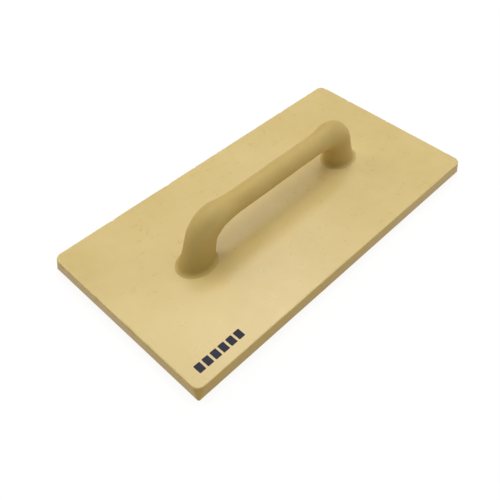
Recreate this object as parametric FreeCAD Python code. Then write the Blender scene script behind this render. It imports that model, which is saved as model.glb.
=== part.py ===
import FreeCAD, Part
import math
import os

# Moulded polyurethane float with a bridge handle.
# Frame: the origin is the centre of the sole, the flat working face that the float rests on.
# +X runs along the board and the grip, +Y across the board, +Z up towards the grip. Millimetres.

# Board
BOARD_LENGTH = 450.0
BOARD_WIDTH = 230.0
BOARD_THICKNESS = 18.0
TOP_CORNER_RADIUS = 9.5     # corners of the outline at the top
SOLE_CORNER_RADIUS = 2.0    # the corners tighten towards the sole
TOP_RIM_RADIUS = 1.5
SOLE_RIM_RADIUS = 0.8

# Handle. Depths lie in the plane of the bridge, widths lie across it.
GRIP_HEIGHT = 50.0          # from the board's top to the grip's centreline
GRIP_DEPTH = 25.0
GRIP_WIDTH = 24.5
FOOT_PITCH = 240.0          # between the two legs' centrelines at the board's top
LEG_LEAN = 14.0             # degrees that each leg leans inwards as it rises
ELBOW_BEND_RADIUS = 26.0    # of the centreline
ELBOW_DEPTH = 36.0
ELBOW_WIDTH = 31.0
FOOT_DEPTH = 42.5
FOOT_WIDTH = 34.0
SWELL_LENGTH = 22.0         # stretch of the grip that thickens into each elbow

# Flared feet, which are let into the board
FLARE_RADIUS = 4.0
FLANGE_MARGIN = 1.0         # flat rim of the flange outside the flare
FLANGE_DEPTH = 1.5
TENON_MARGIN = 5.0          # how far the tenon's wall stands inside the leg's outline

# Steel core, moulded into the handle and the board
CORE_ROD_DIAMETER = 8.0
ANCHOR_LENGTH = 64.0
ANCHOR_WIDTH = 44.0
ANCHOR_THICKNESS = 3.0
ANCHOR_CORNER_RADIUS = 5.0
ANCHOR_SOLE_COVER = 6.0     # plastic left under the anchor plates
ANCHOR_HOLE_DIAMETER = 9.0
ANCHOR_HOLE_INSET = 9.0     # from the plate's edges to the hole's centre

# Printed mark: a plain row of ink blocks beside one corner
MARK_BLOCKS = 6
MARK_LENGTH = 60.0
MARK_HEIGHT = 10.2
MARK_GAP = 2.6              # between neighbouring blocks
MARK_CORNER_RADIUS = 0.8
MARK_THICKNESS = 0.08
MARK_END_MARGIN = 15.0      # from the board's end to the first block
MARK_SIDE_MARGIN = 12.6     # from the board's long edge to the blocks

SECTION_SPACING = 8.0       # between the handle's sections, along its centreline
TRIM = 500.0                # side of the boxes that trim a shape off at a height
UP = FreeCAD.Vector(0, 0, 1)
ACROSS = FreeCAD.Vector(0, 1, 0)
MIDDLE = FreeCAD.Vector(0, 0, 0)


# Shared shapes

def rounded_plate(length, width, thickness, corner_radius):
    """Plate centred on the Z axis, with its bottom at z = 0."""
    plate = Part.makeBox(length, width, thickness, FreeCAD.Vector(-length / 2, -width / 2, 0))
    upright = [edge for edge in plate.Edges if edge.BoundBox.ZLength > thickness / 2]
    return plate.makeFillet(corner_radius, upright)


def rim_edges(plate, height):
    """Edges of a plate that lie at one height."""
    return [edge for edge in plate.Edges
            if edge.BoundBox.ZLength < 1e-6 and abs(edge.BoundBox.ZMin - height) < 1e-6]


def elliptical_prism(centre_x, depth, width, bottom, top):
    """Upright elliptical block, with its depth along X."""
    centre = FreeCAD.Vector(centre_x, 0, bottom)
    outline = ellipse_wire(centre, FreeCAD.Vector(1, 0, 0), depth, width)
    return Part.Face(outline).extrude(UP * (top - bottom))


def ellipse_wire(centre, depth_axis, depth, width):
    """Ellipse with its depth along depth_axis and its width along Y."""
    depth_end = centre + depth_axis * (depth / 2)
    width_end = centre + ACROSS * (width / 2)
    if depth >= width:
        ellipse = Part.Ellipse(depth_end, width_end, centre)
    else:
        ellipse = Part.Ellipse(width_end, depth_end, centre)
    return Part.Wire([ellipse.toShape()])


def box_below(height):
    """Box that holds everything near the float below a height."""
    return Part.makeBox(TRIM * 2, TRIM * 2, TRIM, FreeCAD.Vector(-TRIM, -TRIM, height - TRIM))


def both_ends(shape):
    """A shape of the +X end and its mirror image at the -X end."""
    return [shape, shape.mirror(MIDDLE, FreeCAD.Vector(1, 0, 0))]


# Centreline of the handle's +X half

def lean():
    return math.radians(LEG_LEAN)


def elbow_turn():
    """Angle in radians that the centreline turns through at an elbow."""
    return math.pi / 2 - lean()


def grip_level():
    """Height of the grip's centreline above the sole."""
    return BOARD_THICKNESS + GRIP_HEIGHT


def grip_end():
    """X at which the grip's straight centreline ends and the elbow begins."""
    sharp_corner = FOOT_PITCH / 2 - GRIP_HEIGHT * math.tan(lean())
    return sharp_corner - ELBOW_BEND_RADIUS * math.tan(elbow_turn() / 2)


def elbow_point(turned):
    """Point of the elbow's centreline after a turn of so many radians."""
    x = grip_end() + ELBOW_BEND_RADIUS * math.sin(turned)
    z = grip_level() - ELBOW_BEND_RADIUS * (1 - math.cos(turned))
    return FreeCAD.Vector(x, 0, z)


def elbow_run():
    """Distance along the centreline from the grip's middle to the elbow's lower end."""
    return grip_end() + ELBOW_BEND_RADIUS * elbow_turn()


def leg_point(height):
    """Point of the leg's centreline at a height above the sole."""
    x = FOOT_PITCH / 2 + (BOARD_THICKNESS - height) * math.tan(lean())
    return FreeCAD.Vector(x, 0, height)


def leg_run(height):
    """Distance along the centreline from the grip's middle to a height on the leg."""
    return elbow_run() + (leg_point(height) - elbow_point(elbow_turn())).Length


def centreline_at(run):
    """Point and turn in radians at a distance from the grip's middle, which is negative towards -X."""
    distance = abs(run)
    if distance <= grip_end():
        point = FreeCAD.Vector(distance, 0, grip_level())
        turned = 0.0
    elif distance <= elbow_run():
        turned = (distance - grip_end()) / ELBOW_BEND_RADIUS
        point = elbow_point(turned)
    else:
        turned = elbow_turn()
        down_leg = distance - elbow_run()
        point = elbow_point(turned) + FreeCAD.Vector(math.sin(lean()), 0, -math.cos(lean())) * down_leg
    if run < 0:
        return mirrored(point), -turned
    return point, turned


def mirrored(point):
    return FreeCAD.Vector(-point.x, point.y, point.z)


# Handle

def thickness_at(distance):
    """Depth and width of the handle at a distance along its centreline from the grip's middle."""
    swell_start = grip_end() - SWELL_LENGTH
    elbow_middle = grip_end() + ELBOW_BEND_RADIUS * elbow_turn() / 2
    if distance < elbow_middle:
        share = max(0.0, (distance - swell_start) / (elbow_middle - swell_start))
        share = share * share * (3 - 2 * share)
        depth = GRIP_DEPTH + (ELBOW_DEPTH - GRIP_DEPTH) * share
        width = GRIP_WIDTH + (ELBOW_WIDTH - GRIP_WIDTH) * share
    else:
        share = (distance - elbow_middle) / (leg_run(BOARD_THICKNESS) - elbow_middle)
        depth = ELBOW_DEPTH + (FOOT_DEPTH - ELBOW_DEPTH) * share * share
        width = ELBOW_WIDTH + (FOOT_WIDTH - ELBOW_WIDTH) * share * share
    return depth, width


def bridge():
    """The smooth bridge from foot to foot, cut off level halfway down the flanges."""
    sunk_depth = FOOT_DEPTH / 2 * math.sin(lean()) + 2 * FLANGE_DEPTH
    half_length = leg_run(BOARD_THICKNESS - sunk_depth)
    steps = 2 * round(half_length / SECTION_SPACING)
    sections = []
    for step in range(steps + 1):
        run = half_length * (2 * step / steps - 1)
        centre, turned = centreline_at(run)
        depth, width = thickness_at(abs(run))
        depth_axis = FreeCAD.Vector(math.sin(turned), 0, math.cos(turned))
        sections.append(ellipse_wire(centre, depth_axis, depth, width))
    return Part.makeLoft(sections, True, False).cut(box_below(BOARD_THICKNESS - FLANGE_DEPTH / 2))


def flange_size():
    """Depth and width of the flange that holds a foot's whole flare."""
    flare_reach = FLARE_RADIUS * math.tan((math.pi / 2 + lean()) / 2)
    border = 2 * (flare_reach + FLANGE_MARGIN)
    return FOOT_DEPTH / math.cos(lean()) + border, FOOT_WIDTH + border


def foot_plug():
    """The part of the +X foot that lies in the board: a thin flange over a tenon."""
    flange_bottom = BOARD_THICKNESS - FLANGE_DEPTH
    flange_depth, flange_width = flange_size()
    flange = elliptical_prism(FOOT_PITCH / 2, flange_depth, flange_width, flange_bottom, BOARD_THICKNESS)
    tenon_bottom = ANCHOR_SOLE_COVER + ANCHOR_THICKNESS
    tenon_x = leg_point((tenon_bottom + flange_bottom) / 2).x
    tenon = elliptical_prism(tenon_x, FOOT_DEPTH - 2 * TENON_MARGIN, FOOT_WIDTH - 2 * TENON_MARGIN,
                             tenon_bottom, flange_bottom)
    return flange.fuse(tenon)


def flare_edges(handle):
    """Edges where the legs meet the flanges, inside the flanges' rims."""
    rim_width = flange_size()[1]
    return [edge for edge in rim_edges(handle, BOARD_THICKNESS)
            if edge.BoundBox.YLength < rim_width - FLANGE_MARGIN]


def make_handle(plugs, core_rod):
    handle = bridge()
    for plug in plugs:
        handle = handle.fuse(plug)
    handle = handle.removeSplitter()
    handle = handle.makeFillet(FLARE_RADIUS, flare_edges(handle))
    return handle.cut(core_rod)


# Steel core

def make_core_rod():
    """Bent rod along the handle's centreline, cut off flush with the underside of the anchor plates."""
    grip_corner = FreeCAD.Vector(grip_end(), 0, grip_level())
    elbow_middle = elbow_point(elbow_turn() / 2)
    elbow_end = elbow_point(elbow_turn())
    buried_end = leg_point(0.0)
    right = [Part.Arc(grip_corner, elbow_middle, elbow_end).toShape(),
             Part.makeLine(elbow_end, buried_end)]
    left = [Part.makeLine(mirrored(buried_end), mirrored(elbow_end)),
            Part.Arc(mirrored(elbow_end), mirrored(elbow_middle), mirrored(grip_corner)).toShape()]
    centreline = Part.Wire(left + [Part.makeLine(mirrored(grip_corner), grip_corner)] + right)
    leg_direction = mirrored(elbow_end) - mirrored(buried_end)
    circle = Part.Circle(mirrored(buried_end), leg_direction, CORE_ROD_DIAMETER / 2)
    rod = centreline.makePipeShell([Part.Wire([circle.toShape()])], True, False)
    return rod.cut(box_below(ANCHOR_SOLE_COVER))


def make_anchor_plate(core_rod):
    """Perforated plate of the +X end, welded round the rod's end."""
    plate = rounded_plate(ANCHOR_LENGTH, ANCHOR_WIDTH, ANCHOR_THICKNESS, ANCHOR_CORNER_RADIUS)
    hole_x = ANCHOR_LENGTH / 2 - ANCHOR_HOLE_INSET
    hole_y = ANCHOR_WIDTH / 2 - ANCHOR_HOLE_INSET
    for side_x in (-1, 1):
        for side_y in (-1, 1):
            place = FreeCAD.Vector(side_x * hole_x, side_y * hole_y, 0)
            plate = plate.cut(Part.makeCylinder(ANCHOR_HOLE_DIAMETER / 2, ANCHOR_THICKNESS, place))
    centre = leg_point(ANCHOR_SOLE_COVER + ANCHOR_THICKNESS / 2)
    plate.translate(FreeCAD.Vector(centre.x, 0, ANCHOR_SOLE_COVER))
    return plate.cut(core_rod)


# Board

def board_outline(corner_radius, height):
    """The board's outline at one height, as a wire."""
    plate = rounded_plate(BOARD_LENGTH, BOARD_WIDTH, BOARD_THICKNESS, corner_radius)
    outline = Part.Wire(Part.sortEdges(rim_edges(plate, 0.0))[0])
    outline.translate(UP * height)
    return outline


def make_board(seated):
    """The moulded plate, with a pocket for every piece that is seated in it."""
    sole = board_outline(SOLE_CORNER_RADIUS, 0.0)
    top = board_outline(TOP_CORNER_RADIUS, BOARD_THICKNESS)
    board = Part.makeLoft([sole, top], True, True)
    board = board.makeFillet(TOP_RIM_RADIUS, rim_edges(board, BOARD_THICKNESS))
    board = board.makeFillet(SOLE_RIM_RADIUS, rim_edges(board, 0.0))
    for piece in seated:
        board = board.cut(piece)
    return board


def make_printed_mark():
    """Row of ink blocks on the board's top, beside the corner at -X, -Y."""
    block_length = (MARK_LENGTH - MARK_GAP * (MARK_BLOCKS - 1)) / MARK_BLOCKS
    first_x = -BOARD_LENGTH / 2 + MARK_END_MARGIN + block_length / 2
    middle_y = -BOARD_WIDTH / 2 + MARK_SIDE_MARGIN + MARK_HEIGHT / 2
    blocks = []
    for index in range(MARK_BLOCKS):
        block = rounded_plate(block_length, MARK_HEIGHT, MARK_THICKNESS, MARK_CORNER_RADIUS)
        x = first_x + index * (block_length + MARK_GAP)
        block.translate(FreeCAD.Vector(x, middle_y, BOARD_THICKNESS))
        blocks.append(block)
    return Part.makeCompound(blocks)


def main():
    core_rod = make_core_rod()
    plugs = both_ends(foot_plug())
    front_plate, rear_plate = both_ends(make_anchor_plate(core_rod))
    pieces = {
        "board": make_board(plugs + [front_plate, rear_plate, core_rod]),
        "handle": make_handle(plugs, core_rod),
        "handle_core_rod": core_rod,
        "front_anchor_plate": front_plate,
        "rear_anchor_plate": rear_plate,
        "printed_mark": make_printed_mark(),
    }
    os.makedirs("parts", exist_ok=True)
    for name, shape in pieces.items():
        shape.exportStep("parts/" + name + ".step")
        print(name, round(shape.Volume, 1), "mm3,", len(shape.Solids), "solids, valid:", shape.isValid())


main()
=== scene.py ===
import logging
import math
from dataclasses import dataclass, field
from enum import Enum

import bmesh
import bpy
from mathutils import Matrix, Vector, noise


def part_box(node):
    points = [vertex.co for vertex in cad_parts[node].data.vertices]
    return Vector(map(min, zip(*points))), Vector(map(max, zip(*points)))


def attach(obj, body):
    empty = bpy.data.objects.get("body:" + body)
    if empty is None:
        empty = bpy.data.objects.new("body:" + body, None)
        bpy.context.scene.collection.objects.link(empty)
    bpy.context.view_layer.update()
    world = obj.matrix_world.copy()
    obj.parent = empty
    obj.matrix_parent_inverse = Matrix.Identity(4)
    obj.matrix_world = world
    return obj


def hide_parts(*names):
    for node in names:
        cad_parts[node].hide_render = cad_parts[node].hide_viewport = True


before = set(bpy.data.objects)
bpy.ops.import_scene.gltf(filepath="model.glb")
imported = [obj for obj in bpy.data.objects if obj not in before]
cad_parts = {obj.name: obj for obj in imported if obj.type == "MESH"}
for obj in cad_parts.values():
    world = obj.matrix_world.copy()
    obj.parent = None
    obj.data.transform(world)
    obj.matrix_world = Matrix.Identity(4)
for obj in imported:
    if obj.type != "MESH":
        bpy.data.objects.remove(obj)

# Looks of a moulded polyurethane float: a plain plate with a bridge handle of the same plastic, a row
# of printed blocks beside one corner, and a steel core that the plastic hides.
# Metres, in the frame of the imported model: X along the board, Y across it, Z up from the sole.

MM = 0.001
ROOT = "root"
SENSOR_WIDTH = 36.0                   # mm, as lens lengths are given for it
MERGE = 1e-7                          # closer than this, a cut takes the vertex that is there
LEVEL = 1e-6                          # vertices this close to a height are at it
UP = Vector((0.0, 0.0, 1.0))
ACROSS = Vector((0.0, 1.0, 0.0))

log = logging.getLogger("float")


class WearAndPaintedLight(Enum):
    """Vertex attributes that tell the plastic where it has wear and where light or shade is painted.
    """

    RUBBED_AND_RIM_HIGHLIGHT = "rubbed_and_rim_highlight"
    PAINTED_SHADE = "ochre_and_painted_shade"


def linear(colour: str) -> tuple[float, float, float, float]:
    """Turn an sRGB hex colour into linear values.

    Args:
        colour: Six hex digits after a hash sign.

    Returns:
        Linear red, green and blue, and an alpha of one.
    """
    # The constants are those of the sRGB curve.
    channels = [int(colour[start:start + 2], 16) / 255 for start in (1, 3, 5)]
    values = [c / 12.92 if c <= 0.04045 else ((c + 0.055) / 1.055) ** 2.4 for c in channels]
    return (*values, 1.0)


def per_metre(size: float) -> float:
    """Texture scale whose cells measure a given size in metres."""
    return 1.0 / size


def smoothstep(share: float) -> float:
    """Ease from zero to one with level ends."""
    share = min(1.0, max(0.0, share))
    return share * share * (3.0 - 2.0 * share)


class Shader:
    """A material's node tree, built one node at a time."""

    def __init__(self, name: str) -> None:
        """Start an empty material with its output node."""
        self.material = bpy.data.materials.new(name)
        self.material.use_nodes = True
        self.tree = self.material.node_tree
        self.tree.nodes.clear()
        self.output = self.tree.nodes.new("ShaderNodeOutputMaterial")

    def add(self, kind: str, settings: dict | None = None, **inputs: object) -> bpy.types.Node:
        """Add a node.

        Args:
            kind: Node type without the ShaderNode prefix.
            settings: Attributes of the node, such as its data type or operation.
            **inputs: Values or output sockets, by input name with spaces as underscores, or by
                number as i0, i1 and so on.

        Returns:
            The new node.
        """
        node = self.tree.nodes.new("ShaderNode" + kind)
        for name, value in (settings or {}).items():
            setattr(node, name, value)
        for name, value in inputs.items():
            if name[0] == "i" and name[1:].isdigit():
                socket = node.inputs[int(name[1:])]
            else:
                socket = node.inputs[name.replace("_", " ")]
            if isinstance(value, bpy.types.NodeSocket):
                self.tree.links.new(value, socket)
            else:
                socket.default_value = value
        return node

    def finish(self, surface: bpy.types.NodeSocket) -> bpy.types.Material:
        """Link a surface shader to the output and return the material."""
        self.tree.links.new(surface, self.output.inputs["Surface"])
        return self.material


@dataclass(frozen=True)
class Dots:
    """Small round dots that lie scattered through a material."""

    spacing: float      # of the places where a dot may lie
    radius: float       # as a share of the spacing
    middle: float       # radius of the full-strength middle, as the same share
    rarity: float       # share of the places that stay empty

    def mask(self, shader: Shader, place: bpy.types.NodeSocket) -> bpy.types.NodeSocket:
        """Add the nodes that draw the dots.

        Args:
            shader: Material that gets the nodes.
            place: Object coordinates.

        Returns:
            Mask that is one in a dot and zero between the dots.
        """
        cells = shader.add("TexVoronoi", Vector=place, Scale=per_metre(self.spacing))
        dots = shader.add("MapRange", i0=cells.outputs["Distance"], i1=self.radius,
                          i2=self.middle).outputs[0]
        drawn = shader.add("SeparateColor", i0=cells.outputs["Color"]).outputs[0]
        filled = shader.add("Math", {"operation": "GREATER_THAN"}, i0=drawn,
                            i1=self.rarity).outputs[0]
        return shader.add("Math", {"operation": "MULTIPLY"}, i0=dots, i1=filled).outputs[0]


@dataclass(frozen=True)
class MouldedPolyurethane:
    """Rigid integral-skin polyurethane foam, cast in a closed mould.

    The skin is cream and slightly waxy. Its colour drifts in soft clouds where the foam rose unevenly,
    gas pores dot it, and faint lines are scuffed along it. Where a mesh asks for them, a lighter
    colour is painted along a rim as a highlight, and a dull ochre is painted on as shade.
    """

    name: str = "moulded_rigid_polyurethane"
    pale: str = "#D8C182"
    middle: str = "#D4BC7B"
    deep: str = "#CFB674"
    # ochre of the painted shade on walls and in creases; the pores are tinted towards it too
    ochre_and_painted_shade: str = "#A88733"
    # lighter colour of the scuffs, the knocks and the highlight painted along the top rim
    rubbed_and_rim_highlight: str = "#DECA94"
    cloud_size: float = 85.0 * MM
    patch_size: float = 14.0 * MM
    patch_share: float = 0.35        # how much the patches add to the clouds
    deepest_drift: float = 0.42      # clouds and patches together, at the deep and the pale tone
    palest_drift: float = 0.95
    # Pores 0.8 mm across, which is coarser than the real ones of about 0.5 mm, so that some show.
    pores: Dots = Dots(spacing=3.2 * MM, radius=0.13, middle=0.05, rarity=0.955)
    pore_tint: float = 0.3
    pore_dip: float = -0.25          # in grain heights
    ripple_size: float = 26.0 * MM
    ripple_height: float = 5.0       # in grain heights
    grain_size: float = 1.1 * MM
    relief: float = 0.12 * MM
    relief_strength: float = 0.35
    scuff_length: float = 70.0 * MM
    scuff_width: float = 1.6 * MM
    scuff_turns: tuple[float, float] = (0.06, -0.5)   # two draws of the noise that aren't alike
    scuff_start: float = 0.66        # noise levels at which a scuff begins and is full
    scuff_full: float = 0.8
    scuffing: float = 0.35
    smooth_patch: float = 0.3        # patch noise at the smoothest and the roughest
    rough_patch: float = 0.7
    smoothest: float = 0.26
    roughest: float = 0.36
    wear_roughness: float = 0.12     # what the scuffs, the knocks and the painted rim highlight add to the roughness
    refraction: float = 1.5
    shine: float = 0.5               # how much the bare skin mirrors, where no shade is painted
    wax: float = 0.15                # film of mould release wax, which gives a second sheen
    wax_roughness: float = 0.25
    glow_share: float = 0.06         # light that enters the skin and comes out beside
    glow_depth: float = 1.5 * MM
    glow_colour: tuple[float, float, float] = (1.0, 0.6, 0.2)   # how far red, green and blue get

    def build(self) -> bpy.types.Material:
        """Build the material.

        Returns:
            The plastic, which reads the attributes of wear, painted highlight and painted shade where
            a mesh has them.
        """
        shader = Shader(self.name)
        place = shader.add("TexCoord").outputs["Object"]
        patches = shader.add("TexNoise", Vector=place, Scale=per_metre(self.patch_size), Detail=4.0,
                             Roughness=0.6).outputs["Fac"]
        pores = self.pores.mask(shader, place)
        # lighter wear at the knocks, and a highlight painted along the top rim
        rubbed_and_rim_highlight = shader.add("Attribute", {"attribute_name": WearAndPaintedLight.RUBBED_AND_RIM_HIGHLIGHT.value}).outputs["Fac"]
        # painted shade: where a mesh asks for it, the plastic turns ochre and dull
        ochre_and_painted_shade = shader.add("Attribute", {"attribute_name": WearAndPaintedLight.PAINTED_SHADE.value}).outputs["Fac"]
        scuffs_and_rim_highlight = shader.add("Math", {"operation": "MAXIMUM"}, i0=self._scuffs(shader, place),
                          i1=rubbed_and_rim_highlight).outputs[0]
        # scuffs, knocks and the painted rim highlight lighten the colour
        colour = shader.add("Mix", {"data_type": "RGBA"}, i0=scuffs_and_rim_highlight,
                            i6=self._tones(shader, place, patches),
                            i7=linear(self.rubbed_and_rim_highlight)).outputs[2]
        # the pores and the painted shade pull the colour towards ochre
        faint = shader.add("Math", {"operation": "MULTIPLY"}, i0=pores,
                           i1=self.pore_tint).outputs[0]
        pores_and_painted_shade = shader.add("Math", {"operation": "MAXIMUM"}, i0=faint, i1=ochre_and_painted_shade).outputs[0]
        colour = shader.add("Mix", {"data_type": "RGBA"}, i0=pores_and_painted_shade, i6=colour,
                            i7=linear(self.ochre_and_painted_shade)).outputs[2]
        roughness = shader.add("MapRange", i0=patches, i1=self.smooth_patch, i2=self.rough_patch,
                               i3=self.smoothest, i4=self.roughest).outputs[0]
        roughness = shader.add("Math", {"operation": "MULTIPLY_ADD"}, i0=scuffs_and_rim_highlight,
                               i1=self.wear_roughness, i2=roughness).outputs[0]
        # where shade is painted, the shine and the wax are taken away
        unshaded = shader.add("Math", {"operation": "SUBTRACT"}, i0=1.0, i1=ochre_and_painted_shade).outputs[0]
        shine = shader.add("Math", {"operation": "MULTIPLY"}, i0=unshaded, i1=self.shine).outputs[0]
        wax = shader.add("Math", {"operation": "MULTIPLY"}, i0=unshaded, i1=self.wax).outputs[0]
        surface = shader.add("BsdfPrincipled", Base_Color=colour, Roughness=roughness,
                             Normal=self._relief(shader, place, pores), IOR=self.refraction,
                             Specular_IOR_Level=shine, Coat_Weight=wax,
                             Coat_Roughness=self.wax_roughness, Subsurface_Weight=self.glow_share,
                             Subsurface_Scale=self.glow_depth, Subsurface_Radius=self.glow_colour)
        return shader.finish(surface.outputs[0])

    def _tones(self, shader: Shader, place: bpy.types.NodeSocket,
               patches: bpy.types.NodeSocket) -> bpy.types.NodeSocket:
        """Colour of the clean skin, from the deep to the pale tone.

        Args:
            shader: Material that gets the nodes.
            place: Object coordinates.
            patches: Noise of the small patches.

        Returns:
            The colour.
        """
        clouds = shader.add("TexNoise", Vector=place, Scale=per_metre(self.cloud_size), Detail=2.0,
                            Roughness=0.45).outputs["Fac"]
        drift = shader.add("Math", {"operation": "MULTIPLY_ADD"}, i0=patches, i1=self.patch_share,
                           i2=clouds).outputs[0]
        share = shader.add("MapRange", i0=drift, i1=self.deepest_drift,
                           i2=self.palest_drift).outputs[0]
        tones = shader.add("ValToRGB", Fac=share)
        ramp = tones.color_ramp
        ramp.elements[0].color = linear(self.deep)
        ramp.elements[1].color = linear(self.pale)
        ramp.elements.new(0.5).color = linear(self.middle)
        return tones.outputs[0]

    def _scuffs(self, shader: Shader, place: bpy.types.NodeSocket) -> bpy.types.NodeSocket:
        """Faint scuffed lines that run along X.

        Args:
            shader: Material that gets the nodes.
            place: Object coordinates.

        Returns:
            Mask of the lines.
        """
        across = per_metre(self.scuff_width)
        masks = []
        for turn in self.scuff_turns:
            lines = shader.add("Mapping", Vector=place, Rotation=(0.0, 0.0, turn),
                               Scale=(per_metre(self.scuff_length), across, across)).outputs[0]
            streaks = shader.add("TexNoise", Vector=lines, Scale=1.0, Detail=2.0).outputs["Fac"]
            masks.append(shader.add("MapRange", i0=streaks, i1=self.scuff_start,
                                    i2=self.scuff_full, i3=0.0, i4=self.scuffing).outputs[0])
        return shader.add("Math", {"operation": "MAXIMUM"}, i0=masks[0], i1=masks[1]).outputs[0]

    def _relief(self, shader: Shader, place: bpy.types.NodeSocket,
                pores: bpy.types.NodeSocket) -> bpy.types.NodeSocket:
        """Slow ripples, a fine grain and the pores.

        Args:
            shader: Material that gets the nodes.
            place: Object coordinates.
            pores: Mask of the pores.

        Returns:
            Normal of the skin.
        """
        ripple = shader.add("TexNoise", Vector=place, Scale=per_metre(self.ripple_size),
                            Detail=2.0).outputs["Fac"]
        grain = shader.add("TexNoise", Vector=place, Scale=per_metre(self.grain_size),
                           Detail=3.0).outputs["Fac"]
        height = shader.add("Math", {"operation": "MULTIPLY_ADD"}, i0=ripple,
                            i1=self.ripple_height, i2=grain).outputs[0]
        height = shader.add("Math", {"operation": "MULTIPLY_ADD"}, i0=pores, i1=self.pore_dip,
                            i2=height).outputs[0]
        return shader.add("Bump", Height=height, Strength=self.relief_strength,
                          Distance=self.relief).outputs[0]


@dataclass(frozen=True)
class PrintedInk:
    """Solvent ink pad-printed on the foam's skin: matt, almost black blue, with pinholes."""

    name: str = "pad_printed_ink"
    ink: str = "#17152C"
    thin: str = "#2C2A42"
    bare: str = "#BFA36C"
    patch_size: float = 5.0 * MM
    thin_start: float = 0.45           # patch noise at which the ink begins to thin, and is thinnest
    thin_full: float = 0.75
    pinholes: Dots = Dots(spacing=1.3 * MM, radius=0.14, middle=0.05, rarity=0.8)
    smoothest: float = 0.45
    roughest: float = 0.62
    relief: float = 0.03 * MM
    relief_strength: float = 0.2
    refraction: float = 1.5
    shine: float = 0.3

    def build(self) -> bpy.types.Material:
        """Build the material.

        Returns:
            The ink.
        """
        shader = Shader(self.name)
        place = shader.add("TexCoord").outputs["Object"]
        patches = shader.add("TexNoise", Vector=place, Scale=per_metre(self.patch_size),
                             Detail=4.0).outputs["Fac"]
        thinned = shader.add("MapRange", i0=patches, i1=self.thin_start,
                             i2=self.thin_full).outputs[0]
        colour = shader.add("Mix", {"data_type": "RGBA"}, i0=thinned, i6=linear(self.ink),
                            i7=linear(self.thin)).outputs[2]
        colour = shader.add("Mix", {"data_type": "RGBA"}, i0=self.pinholes.mask(shader, place),
                            i6=colour, i7=linear(self.bare)).outputs[2]
        roughness = shader.add("MapRange", i0=patches, i3=self.smoothest,
                               i4=self.roughest).outputs[0]
        relief = shader.add("Bump", Height=patches, Strength=self.relief_strength,
                            Distance=self.relief).outputs[0]
        surface = shader.add("BsdfPrincipled", Base_Color=colour, Roughness=roughness,
                             Normal=relief, IOR=self.refraction, Specular_IOR_Level=self.shine)
        return shader.finish(surface.outputs[0])


@dataclass(frozen=True)
class DrawnSteel:
    """Plain drawn and cut steel: grey, half bright, with draw lines along X."""

    name: str = "drawn_mild_steel"
    bright: str = "#B9BBBD"
    dull: str = "#8C8E90"
    line_length: float = 40.0 * MM
    line_width: float = 0.3 * MM
    smoothest: float = 0.28
    roughest: float = 0.45
    relief: float = 0.02 * MM
    relief_strength: float = 0.3

    def build(self) -> bpy.types.Material:
        """Build the material.

        Returns:
            The steel.
        """
        shader = Shader(self.name)
        place = shader.add("TexCoord").outputs["Object"]
        across = per_metre(self.line_width)
        drawn = shader.add("Mapping", Vector=place,
                           Scale=(per_metre(self.line_length), across, across)).outputs[0]
        lines = shader.add("TexNoise", Vector=drawn, Scale=1.0, Detail=3.0).outputs["Fac"]
        colour = shader.add("Mix", {"data_type": "RGBA"}, i0=lines, i6=linear(self.dull),
                            i7=linear(self.bright)).outputs[2]
        roughness = shader.add("MapRange", i0=lines, i3=self.smoothest,
                               i4=self.roughest).outputs[0]
        relief = shader.add("Bump", Height=lines, Strength=self.relief_strength,
                            Distance=self.relief).outputs[0]
        surface = shader.add("BsdfPrincipled", Base_Color=colour, Roughness=roughness,
                             Metallic=1.0, Normal=relief)
        return shader.finish(surface.outputs[0])


def everything(mesh: bmesh.types.BMesh) -> list:
    """All vertices, edges and faces of a mesh, as the bisect operator wants them."""
    return mesh.verts[:] + mesh.edges[:] + mesh.faces[:]


def dress(piece: bpy.types.Object, material: bpy.types.Material) -> None:
    """Put one material on a piece in place of any it has.

    Args:
        piece: New piece or carried-over node.
        material: Its finish.
    """
    if piece.data.materials:
        for slot in piece.material_slots:
            slot.material = material
    else:
        piece.data.materials.append(material)


def make_piece(name: str, mesh: bmesh.types.BMesh, node: str,
               material: bpy.types.Material) -> bpy.types.Object:
    """Turn a finished bmesh into a moulded piece that rides on the root body.

    Args:
        name: Name of the piece.
        mesh: The bmesh, in place in the frame; it is freed.
        node: CAD node that the piece stands for.
        material: Its finish.

    Returns:
        The new object.
    """
    bmesh.ops.recalc_face_normals(mesh, faces=mesh.faces)
    data = bpy.data.meshes.new(name)
    mesh.to_mesh(data)
    mesh.free()
    data.shade_smooth()
    piece = bpy.data.objects.new(name, data)
    bpy.context.scene.collection.objects.link(piece)
    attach(piece, ROOT)
    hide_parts(node)
    dress(piece, material)
    return piece


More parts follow.
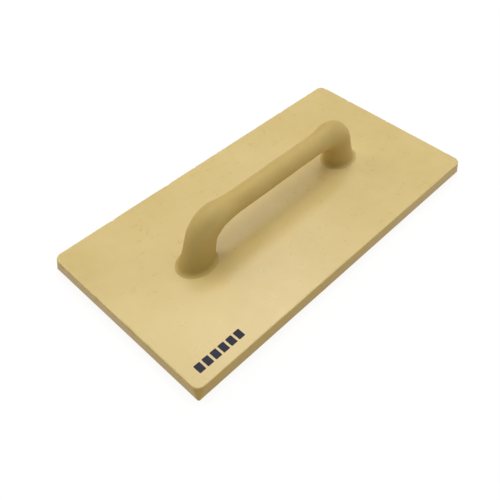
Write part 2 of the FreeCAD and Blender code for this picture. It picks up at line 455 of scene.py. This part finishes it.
@dataclass
class BoardPlate:
    """The moulded plate, with its rounded corners, softened rims and small knocks."""

    node: str = "board"
    top_corner: float = 9.5 * MM       # corners of the outline, which tighten towards the sole
    sole_corner: float = 2.0 * MM
    top_rim: float = 1.5 * MM
    sole_rim: float = 0.8 * MM
    corner_segments: int = 8
    rim_segments: int = 4
    wall_segments: int = 4
    mesh_spacing: float = 3.0 * MM
    support: float = 0.6 * MM          # mesh line just inside each rim, which keeps the flats flat
    waviness: float = 0.10 * MM        # of the moulded top
    waviness_size: float = 45.0 * MM
    wave_fade: float = 20.0 * MM       # the rims stay true
    knock_depth: float = 0.55 * MM
    knock_drop: float = 0.8            # how far a knock goes down, for one way inwards
    knock_size: float = 7.0 * MM
    knock_threshold: float = 0.28      # noise level above which the rim is knocked
    knock_blend: float = 0.4           # rise in noise level to a knock of full depth
    rough_end_threshold: float = 0.08  # the end at -X took more knocks
    rough_end_length: float = 8.0 * MM
    # painted highlight along the top rim, broken into speckles
    rim_highlight: float = 0.3
    rim_highlight_speckle_size: float = 4.0 * MM
    knock_polish: float = 0.6
    flank_painted_shade: float = 0.8             # painted shade: the walls are browner and darker than the top
    finish: MouldedPolyurethane = MouldedPolyurethane()
    low: Vector = field(init=False)
    high: Vector = field(init=False)

    def __post_init__(self) -> None:
        """Take the plate's corners from the frame."""
        self.low, self.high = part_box(self.node)

    @property
    def centre(self) -> Vector:
        """Middle of the plate."""
        return (self.low + self.high) / 2

    @property
    def half(self) -> Vector:
        """Half of the plate's size along each axis."""
        return (self.high - self.low) / 2

    def build(self) -> list[bpy.types.Object]:
        """Build the plate and dress it.

        Returns:
            The one piece.
        """
        mesh = bmesh.new()
        bmesh.ops.create_cube(mesh, size=1.0)
        bmesh.ops.scale(mesh, vec=self.high - self.low, verts=mesh.verts)
        bmesh.ops.translate(mesh, vec=self.centre, verts=mesh.verts)
        self._round(mesh, [edge for edge in mesh.edges if self._is_upright(edge)],
                    self.top_corner, self.corner_segments)
        self._tighten_sole(mesh)
        for level, radius in ((self.high.z, self.top_rim), (self.low.z, self.sole_rim)):
            rim = [edge for edge in mesh.edges if self._lies_at(edge, level)]
            self._round(mesh, rim, radius, self.rim_segments)
        self._divide(mesh)
        self._wear_and_paint_light(mesh)
        return [make_piece("moulded_board", mesh, self.node, self.finish.build())]

    @staticmethod
    def _is_upright(edge: bmesh.types.BMEdge) -> bool:
        """Whether an edge of a box runs along Z."""
        start, end = edge.verts
        return abs(start.co.z - end.co.z) > LEVEL

    @staticmethod
    def _lies_at(edge: bmesh.types.BMEdge, level: float) -> bool:
        """Whether both ends of an edge are at a height."""
        return all(abs(vert.co.z - level) < LEVEL for vert in edge.verts)

    @staticmethod
    def _round(mesh: bmesh.types.BMesh, edges: list, radius: float, segments: int) -> None:
        """Round some edges with a number of segments."""
        bmesh.ops.bevel(mesh, geom=edges, offset=radius, segments=segments, profile=0.5,
                        affect="EDGES", offset_type="OFFSET", material=-1)

    def _tighten_sole(self, mesh: bmesh.types.BMesh) -> None:
        """Draw the sole's four corners out to their smaller radius.

        Args:
            mesh: The plate with its corners rounded, which is changed.
        """
        centre, half = self.centre, self.half
        for vert in mesh.verts:
            if vert.co.z < centre.z:
                for axis in range(2):
                    out = vert.co[axis] - centre[axis]
                    spoke = (abs(out) - half[axis] + self.top_corner) / self.top_corner
                    reach = half[axis] - self.sole_corner + spoke * self.sole_corner
                    vert.co[axis] = centre[axis] + math.copysign(reach, out)

    def _divide(self, mesh: bmesh.types.BMesh) -> None:
        """Cut the plate into an even net of faces, with a support line inside every rim.

        Args:
            mesh: The rounded plate, which is changed.
        """
        for axis in range(2):
            inset = self.top_rim + self.support
            start, end = self.low[axis] + inset, self.high[axis] - inset
            steps = round((end - start) / self.mesh_spacing)
            normal = Vector((0.0, 0.0, 0.0))
            normal[axis] = 1.0
            for step in range(steps + 1):
                point = normal * (start + (end - start) * step / steps)
                bmesh.ops.bisect_plane(mesh, geom=everything(mesh), dist=MERGE, plane_co=point,
                                       plane_no=normal)
        wall_low = self.low.z + self.sole_rim + self.support
        wall_high = self.high.z - self.top_rim - self.support
        for step in range(self.wall_segments + 1):
            point = UP * (wall_low + (wall_high - wall_low) * step / self.wall_segments)
            bmesh.ops.bisect_plane(mesh, geom=everything(mesh), dist=MERGE, plane_co=point,
                                   plane_no=UP)

    def _wear_and_paint_light(self, mesh: bmesh.types.BMesh) -> None:
        """Give the top a faint waviness and the top rim its knocks; paint a highlight along the top
        rim, lighter wear at the knocks and shade on the walls.

        Args:
            mesh: The divided plate, which is changed.
        """
        rubbed_and_rim_highlight = mesh.verts.layers.float.new(WearAndPaintedLight.RUBBED_AND_RIM_HIGHLIGHT.value)
        ochre_and_painted_shade = mesh.verts.layers.float.new(WearAndPaintedLight.PAINTED_SHADE.value)
        centre, half = self.centre, self.half
        rim_reach = 2 * self.top_rim
        mesh.normal_update()
        for vert in mesh.verts:
            out = vert.co - centre
            edge_gap = min(half.x - abs(out.x), half.y - abs(out.y))
            depth = self.high.z - vert.co.z
            wave = noise.noise(vert.co / self.waviness_size)
            on_rim = smoothstep(1.0 - edge_gap / rim_reach) * smoothstep(1.0 - depth / rim_reach)
            knock = self._knock(vert.co) * on_rim
            inwards = UP * -self.knock_drop
            for axis in range(2):
                if half[axis] - abs(out[axis]) < rim_reach:
                    inwards[axis] = -math.copysign(1.0, out[axis])
            vert.co += inwards * (knock * self.knock_depth)
            if depth < self.top_rim / 4:
                fade = smoothstep((edge_gap - self.top_rim) / self.wave_fade)
                vert.co.z += self.waviness * wave * fade
            # painted highlight along the top rim, in speckles, and lighter wear at the knocks
            speckle = 0.5 + 0.5 * noise.noise(vert.co / self.rim_highlight_speckle_size)
            vert[rubbed_and_rim_highlight] = self.rim_highlight * on_rim * speckle + self.knock_polish * knock
            # painted shade on the walls, the more the face leans from level
            vert[ochre_and_painted_shade] = self.flank_painted_shade * smoothstep(1.0 - abs(vert.normal.z))

    def _knock(self, place: Vector) -> float:
        """How deep the rim is knocked.

        Args:
            place: Point on the rim.

        Returns:
            Depth, from zero to one.
        """
        rough_from = self.low.x + self.rough_end_length
        at_end = smoothstep((rough_from - place.x) / self.rough_end_length)
        threshold = self.knock_threshold + (self.rough_end_threshold - self.knock_threshold) * at_end
        level = noise.noise(place / self.knock_size)
        return smoothstep((level - threshold) / self.knock_blend)


@dataclass
class BridgeHandle:
    """The bridge grip, swollen at its elbows, on two leaning legs that flare into the board."""

    node: str = "handle"
    grip_depth: float = 25.0 * MM
    grip_width: float = 24.5 * MM
    grip_height: float = 50.0 * MM
    foot_pitch: float = 240.0 * MM
    lean: float = math.radians(14.0)
    bend_radius: float = 26.0 * MM
    elbow_depth: float = 36.0 * MM
    elbow_width: float = 31.0 * MM
    foot_depth: float = 42.5 * MM
    foot_width: float = 34.0 * MM
    swell_length: float = 22.0 * MM
    flare_radius: float = 4.0 * MM
    ring_spacing: float = 2.5 * MM
    ring_segments: int = 72
    flare_segments: int = 8
    tuck: float = 0.15 * MM            # how far the flare's edge dips under the board's skin
    spare: float = 4.0 * MM            # what the loft runs on past the board, for the trim
    lump_height: float = 0.35 * MM     # hand-finished mould: the surface isn't quite true
    lump_size: float = 24.0 * MM
    small_lump_size: float = 8.0 * MM
    small_lump_share: float = 0.4      # of the height of the large ones
    crease_painted_shade: float = 0.08           # painted shade: the plastic is a little browner where the feet flare
    crease_height: float = 0.3         # where the crease is brownest, in flare radii
    crease_reach: float = 0.7          # how far from there it is brown, in flare radii
    # plastic a shade darker and duller than the board's
    finish: MouldedPolyurethane = MouldedPolyurethane(
        "darker_handle_polyurethane", pale="#C5AB67", middle="#BFA45E", deep="#B59A50", smoothest=0.5,
        roughest=0.62, shine=0.4, wax=0.0, scuffing=0.1)
    board_top: float = field(init=False)

    def __post_init__(self) -> None:
        """Take the board's top from the frame."""
        self.board_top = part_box("board")[1].z

    @property
    def turn(self) -> float:
        """Angle that the centreline turns through at an elbow."""
        return math.pi / 2 - self.lean

    @property
    def grip_end(self) -> float:
        """X at which the straight grip ends."""
        corner = self.foot_pitch / 2 - self.grip_height * math.tan(self.lean)
        return corner - self.bend_radius * math.tan(self.turn / 2)

    @property
    def elbow_end(self) -> float:
        """Distance along the centreline to the elbow's lower end."""
        return self.grip_end + self.bend_radius * self.turn

    @property
    def leg_end(self) -> float:
        """Distance along the centreline to the board's top."""
        corner_to_foot = self.grip_height / math.cos(self.lean)
        return self.elbow_end + corner_to_foot - self.bend_radius * math.tan(self.turn / 2)

    def centreline(self, run: float) -> tuple[Vector, float]:
        """Follow the centreline.

        Args:
            run: Distance from the grip's middle, negative towards -X.

        Returns:
            The point, and how far the centreline has turned down there.
        """
        side = math.copysign(1.0, run)
        distance = abs(run)
        turned = min(max(0.0, distance - self.grip_end) / self.bend_radius, self.turn)
        x = min(distance, self.grip_end) + self.bend_radius * math.sin(turned)
        z = self.board_top + self.grip_height - self.bend_radius * (1.0 - math.cos(turned))
        down_leg = max(0.0, distance - self.elbow_end)
        x += down_leg * math.sin(self.lean)
        z -= down_leg * math.cos(self.lean)
        return Vector((side * x, 0.0, z)), side * turned

    def thickness(self, distance: float) -> tuple[float, float]:
        """Measure the handle across its centreline.

        Args:
            distance: Distance along the centreline from the grip's middle.

        Returns:
            Depth and width there.
        """
        elbow_middle = self.grip_end + self.bend_radius * self.turn / 2
        swell_start = self.grip_end - self.swell_length
        swell = smoothstep((distance - swell_start) / (elbow_middle - swell_start))
        spread = max(0.0, (distance - elbow_middle) / (self.leg_end - elbow_middle)) ** 2
        depth = self.grip_depth + (self.elbow_depth - self.grip_depth) * swell \
            + (self.foot_depth - self.elbow_depth) * spread
        width = self.grip_width + (self.elbow_width - self.grip_width) * swell \
            + (self.foot_width - self.elbow_width) * spread
        return depth, width

    def build(self) -> list[bpy.types.Object]:
        """Build the handle and dress it.

        Returns:
            The one piece.
        """
        mesh = bmesh.new()
        self._loft(mesh)
        self._trim(mesh)
        self._flare(mesh)
        self._soften(mesh)
        bmesh.ops.holes_fill(mesh, edges=[edge for edge in mesh.edges if edge.is_boundary])
        return [make_piece("moulded_handle", mesh, self.node, self.finish.build())]

    def _loft(self, mesh: bmesh.types.BMesh) -> None:
        """Bridge a row of elliptical rings from below one foot to below the other.

        Args:
            mesh: Empty mesh, which gets the tube.
        """
        half = self.leg_end + self.foot_depth / 2 * math.sin(self.lean) + self.spare
        steps = 2 * round(half / self.ring_spacing)
        previous = []
        for step in range(steps + 1):
            run = half * (2 * step / steps - 1)
            centre, turned = self.centreline(run)
            depth, width = self.thickness(abs(run))
            depth_axis = Vector((math.sin(turned), 0.0, math.cos(turned)))
            place = Matrix((depth_axis * (depth / 2), ACROSS * (width / 2),
                            depth_axis.cross(ACROSS))).transposed().to_4x4()
            place.translation = centre
            ring = bmesh.ops.create_circle(mesh, segments=self.ring_segments, radius=1.0,
                                           matrix=place)["verts"]
            edges = list({edge for vert in ring for edge in vert.link_edges})
            if previous:
                bmesh.ops.bridge_loops(mesh, edges=previous + edges)
            previous = edges

    def _trim(self, mesh: bmesh.types.BMesh) -> None:
        """Cut the legs off at the board, with level mesh lines where the flare will be.

        Args:
            mesh: The tube, which is changed.
        """
        bmesh.ops.bisect_plane(mesh, geom=everything(mesh), dist=MERGE,
                               plane_co=UP * (self.board_top - self.tuck), plane_no=-UP,
                               clear_outer=True)
        for step in range(self.flare_segments + 1):
            rise = 1.0 - math.cos(math.pi / 2 * step / self.flare_segments)
            bmesh.ops.bisect_plane(mesh, geom=everything(mesh), dist=LEVEL,
                                   plane_co=UP * (self.board_top + self.flare_radius * rise),
                                   plane_no=UP)

    def _flare(self, mesh: bmesh.types.BMesh) -> None:
        """Spread the lowest rings outwards in a quarter round that lands flat on the board, and paint
        a little shade where the feet flare.

        Args:
            mesh: The trimmed handle, which is changed.
        """
        ochre_and_painted_shade = mesh.verts.layers.float.new(WearAndPaintedLight.PAINTED_SHADE.value)
        for vert in mesh.verts:
            rise = (vert.co.z - self.board_top) / self.flare_radius
            if rise >= 1.0:
                continue
            foot_x = math.copysign(self.foot_pitch / 2, vert.co.x)
            out = Vector(((vert.co.x - foot_x) / self.foot_depth ** 2,
                          vert.co.y / self.foot_width ** 2, 0.0)).normalized()
            if rise > 0.0:
                spread = 1.0 - math.sqrt(1.0 - (1.0 - rise) ** 2)
            else:
                spread = 1.0 - rise
            vert.co += out * (spread * self.flare_radius)
            off_crease = abs(rise - self.crease_height) / self.crease_reach
            # painted shade in the crease of the flare
            vert[ochre_and_painted_shade] = self.crease_painted_shade * smoothstep(1.0 - off_crease)

    def _soften(self, mesh: bmesh.types.BMesh) -> None:
        """Move the skin in and out a little, except where it meets the board.

        Args:
            mesh: The flared handle, which is changed.
        """
        mesh.normal_update()
        for vert in mesh.verts:
            rise = (vert.co.z - self.board_top) / self.flare_radius
            lump = noise.noise(vert.co / self.lump_size) \
                + self.small_lump_share * noise.noise(vert.co / self.small_lump_size)
            vert.co += vert.normal * (self.lump_height * lump * smoothstep(rise - 1.0))


@dataclass
class PrintedMark:
    """The row of ink blocks beside one corner, as the CAD made it."""

    node: str = "printed_mark"
    finish: PrintedInk = PrintedInk()

    def build(self) -> list[bpy.types.Object]:
        """Dress the blocks and return them."""
        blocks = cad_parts[self.node]
        dress(blocks, self.finish.build())
        return [blocks]


@dataclass
class SteelCore:
    """The bent rod in the handle and the two plates that anchor it, as the CAD made them."""

    nodes: tuple[str, ...] = ("handle_core_rod", "front_anchor_plate", "rear_anchor_plate")
    finish: DrawnSteel = DrawnSteel()

    def build(self) -> list[bpy.types.Object]:
        """Dress the rod and the plates.

        Returns:
            The three nodes.
        """
        steel = self.finish.build()
        pieces = [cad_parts[node] for node in self.nodes]
        for piece in pieces:
            dress(piece, steel)
        return pieces


@dataclass(frozen=True)
class Lamp:
    """A round soft box that faces the middle of the floor."""

    name: str
    energy: float
    size: float
    azimuth: float      # degrees from +X towards +Y
    elevation: float    # degrees
    distance: float = 4.0   # metres

    def build(self) -> None:
        """Hang the lamp in the scene."""
        data = bpy.data.lights.new(self.name, "AREA")
        data.energy = self.energy
        data.shape = "DISK"
        data.size = self.size
        lamp = bpy.data.objects.new(self.name, data)
        bpy.context.scene.collection.objects.link(lamp)
        azimuth, elevation = math.radians(self.azimuth), math.radians(self.elevation)
        towards = Vector((math.cos(elevation) * math.cos(azimuth),
                          math.cos(elevation) * math.sin(azimuth), math.sin(elevation)))
        lamp.location = towards * self.distance
        lamp.rotation_euler = towards.to_track_quat("Z", "Y").to_euler()


@dataclass(frozen=True)
class Studio:
    """White floor, even sky, and soft boxes: one overhead, a small bright one and two fills."""

    floor_size: float = 12.0
    floor_colour: str = "#6C6C6B"
    floor_glow: float = 0.86
    sky_strength: float = 0.32
    lamps: tuple[Lamp, ...] = (
        Lamp("overhead_soft_box", energy=104.0, size=4.0, azimuth=30.0, elevation=80.0),
        Lamp("window", energy=9.5, size=1.0, azimuth=39.0, elevation=54.0),
        Lamp("side_fill", energy=30.0, size=2.1, azimuth=115.0, elevation=36.0),
        Lamp("low_fill", energy=20.0, size=2.1, azimuth=-25.0, elevation=22.0),
    )

    def build(self) -> None:
        """Build the floor, the sky and the lamps."""
        mesh = bmesh.new()
        bmesh.ops.create_grid(mesh, x_segments=1, y_segments=1, size=self.floor_size / 2)
        data = bpy.data.meshes.new("floor")
        mesh.to_mesh(data)
        mesh.free()
        floor = bpy.data.objects.new("floor", data)
        bpy.context.scene.collection.objects.link(floor)
        data.materials.append(self._floor_paint())
        self._sky()
        for lamp in self.lamps:
            lamp.build()

    def _floor_paint(self) -> bpy.types.Material:
        """Mix the paint of the floor, which glows as a sweep lit from behind does.

        Returns:
            The paint.
        """
        shader = Shader("white_sweep")
        paint = shader.add("BsdfDiffuse", Color=linear(self.floor_colour))
        glow = shader.add("Emission", Strength=self.floor_glow)
        both = shader.add("AddShader", i0=paint.outputs[0], i1=glow.outputs[0])
        return shader.finish(both.outputs[0])

    def _sky(self) -> None:
        """Even white light from all round."""
        world = bpy.data.worlds.new("studio")
        world.use_nodes = True
        background = world.node_tree.nodes["Background"]
        background.inputs["Color"].default_value = (1.0, 1.0, 1.0, 1.0)
        background.inputs["Strength"].default_value = self.sky_strength
        bpy.context.scene.world = world


@dataclass(frozen=True)
class ProductCamera:
    """Camera that looks down on the float over its corner at -X, -Y."""

    aim: tuple[float, float, float] = (-66.3 * MM, -34.2 * MM, 18.0 * MM)
    distance: float = 673.9 * MM
    azimuth: float = math.radians(-46.8)   # zero looks along +Y
    elevation: float = math.radians(49.17)
    roll: float = math.radians(0.96)
    lens: float = 44.41                    # mm, for SENSOR_WIDTH
    shift: tuple[float, float] = (-0.0092, 0.0031)

    def build(self) -> None:
        """Place the camera and make it the scene's."""
        data = bpy.data.cameras.new("camera")
        data.lens = self.lens
        data.sensor_width = SENSOR_WIDTH
        data.shift_x, data.shift_y = self.shift
        camera = bpy.data.objects.new("camera", data)
        bpy.context.scene.collection.objects.link(camera)
        level = math.cos(self.elevation)
        back = Vector((level * math.sin(self.azimuth), -level * math.cos(self.azimuth),
                       math.sin(self.elevation)))
        right = UP.cross(back).normalized()
        up = back.cross(right)
        tilted = right * math.cos(self.roll) + up * math.sin(self.roll)
        camera.matrix_world = Matrix((tilted, back.cross(tilted), back)).transposed().to_4x4()
        camera.location = Vector(self.aim) + back * self.distance
        bpy.context.scene.camera = camera


def main() -> None:
    """Set up the studio, then build or dress every piece of the float."""
    logging.basicConfig(level=logging.INFO, format="%(message)s")
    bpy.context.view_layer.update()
    ProductCamera().build()
    Studio().build()
    bpy.context.scene.view_settings.view_transform = "Standard"
    for maker in (BoardPlate(), BridgeHandle(), PrintedMark(), SteelCore()):
        for piece in maker.build():
            log.info("%s: %d faces", piece.name, len(piece.data.polygons))


if __name__ == "__main__":
    main()
